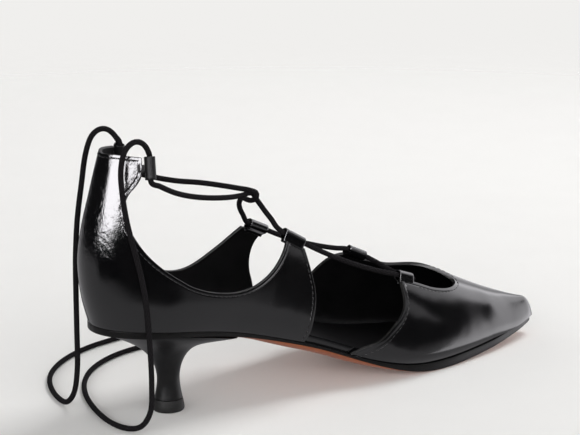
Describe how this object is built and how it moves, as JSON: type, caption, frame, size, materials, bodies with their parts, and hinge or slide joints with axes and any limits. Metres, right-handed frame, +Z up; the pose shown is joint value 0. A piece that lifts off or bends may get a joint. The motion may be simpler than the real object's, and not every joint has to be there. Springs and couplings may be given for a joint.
{
  "type": "low heel pump",
  "caption": "Left lace-up pump with a low flared heel, pointed toe, high counter, open sides, lace loops on its tabs and long free ties.",
  "frame": {"origin": "middle of the shoe's footprint on the floor, the free ties left out", "axes": "+X towards the toe, +Y towards the shoe's left, which is its outer side, +Z up"},
  "size_m": [0.2586, 0.1526, 0.1358],
  "materials": {
    "upper_leather": "brushed-off gloss",
    "lining": "matte",
    "sole_leather": "satin",
    "heel_cover": "satin",
    "top_piece": "matte",
    "cord": "matte"
  },
  "bodies": {
    "root": {"outsole": "sole_leather", "insole": "lining", "quarter": "upper_leather", "vamp": "upper_leather", "heel": "heel_cover", "heel_top_piece": "top_piece", "heel_loop_medial": "upper_leather", "heel_loop_lateral": "upper_leather", "wing_loop_medial": "upper_leather", "wing_loop_lateral": "upper_leather", "vamp_loop_medial": "upper_leather", "vamp_loop_lateral": "upper_leather", "lace_front_medial": "cord", "lace_front_lateral": "cord", "lace_crossing": "cord", "tie_medial": "cord", "tie_lateral": "cord", "tie_knot_medial": "cord", "tie_knot_lateral": "cord"}
  },
  "joints": []
}
